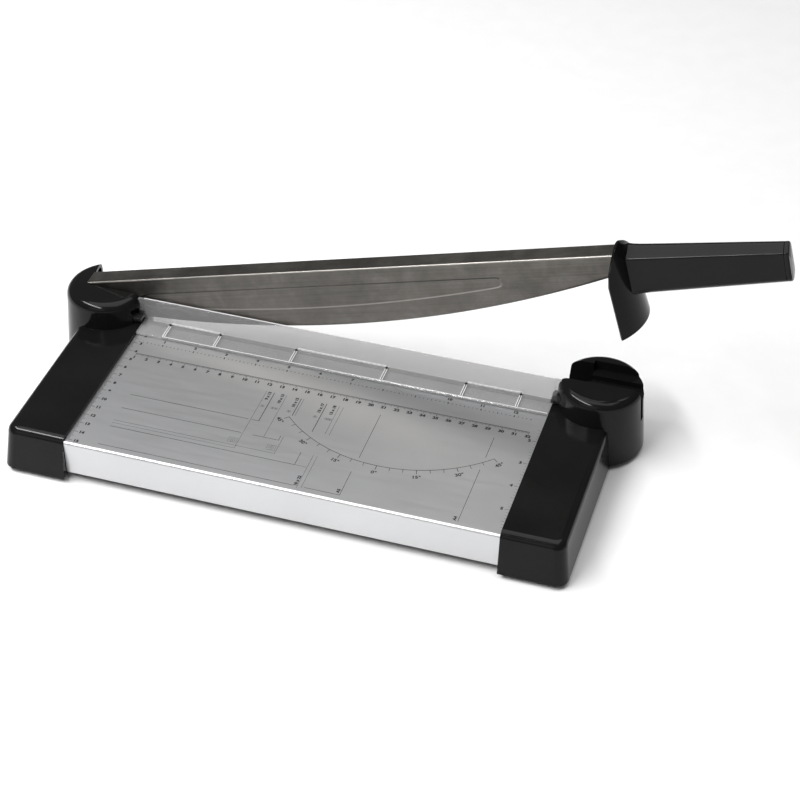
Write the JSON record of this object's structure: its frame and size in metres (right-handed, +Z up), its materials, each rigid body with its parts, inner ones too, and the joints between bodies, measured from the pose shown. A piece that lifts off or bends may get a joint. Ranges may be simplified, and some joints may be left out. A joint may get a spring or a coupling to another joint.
{
  "type": "guillotine paper cutter",
  "caption": "Guillotine paper cutter: flat metal table between moulded end towers, hinged curved blade with handle and hand guard, fixed blade and clear clamp rail.",
  "frame": {"origin": "middle of the bounding box at the surface the feet stand on", "axes": "+X along the cut from the hinge to the handle, +Y away from the operator, +Z up"},
  "size_m": [0.5566, 0.1994, 0.2065],
  "materials": {
    "silver_paint": "satin silver paint with grey printed scales",
    "black_plastic": "satin black injection moulding",
    "dark_plastic": "matt black moulding",
    "blade_steel": "dark ground steel, lightly mottled",
    "zinc_steel": "zinc-plated steel",
    "brass": "plain brass",
    "black_rubber": "matt rubber",
    "clear_plastic": "clear polished acrylic"
  },
  "bodies": {
    "base": {"base_table": "silver_paint", "counter_blade": "blade_steel", "counter_blade_screw_1": "zinc_steel", "counter_blade_screw_2": "zinc_steel", "counter_blade_screw_3": "zinc_steel", "counter_blade_screw_4": "zinc_steel", "counter_blade_screw_5": "zinc_steel", "pivot_bolt": "zinc_steel", "pivot_washer": "brass", "spring_washer": "zinc_steel", "lock_nut": "zinc_steel", "left_cover": "black_plastic", "left_bottom_plate": "dark_plastic", "left_cover_screw_1": "zinc_steel", "left_cover_screw_2": "zinc_steel", "left_foot_1": "black_rubber", "left_foot_2": "black_rubber", "right_cover": "black_plastic", "right_bottom_plate": "dark_plastic", "right_cover_screw_1": "zinc_steel", "right_cover_screw_2": "zinc_steel", "right_foot_1": "black_rubber", "right_foot_2": "black_rubber", "left_guide_pin": "zinc_steel", "left_clamp_spring": "zinc_steel", "right_guide_pin": "zinc_steel", "right_clamp_spring": "zinc_steel"},
    "blade_arm": {"blade": "blade_steel", "hand_guard": "black_plastic", "handle_grip": "black_plastic", "handle_end_cap": "black_plastic", "grip_screw_1": "zinc_steel", "grip_screw_2": "zinc_steel"},
    "clamp": {"clamp_rail": "clear_plastic", "rail_rivet_1": "black_plastic", "rail_rivet_2": "black_plastic", "rail_rivet_3": "black_plastic", "rail_rivet_4": "black_plastic", "rail_rivet_5": "black_plastic", "rail_rivet_6": "black_plastic"}
  },
  "joints": [
    {"name": "blade_hinge", "type": "hinge", "parent": "base", "child": "blade_arm", "pos_m": [-0.2425, 0.06035, 0.0291], "axis": [0, -1, 0], "range_deg": [-16, 6]},
    {"name": "clamp_lift", "type": "slide", "parent": "base", "child": "clamp", "axis": [0, 0, 1], "range_m": [0, 0.004], "stiffness_N_per_m": 250, "springref_m": -0.004, "deforming": ["left_clamp_spring", "right_clamp_spring"]}
  ]
}
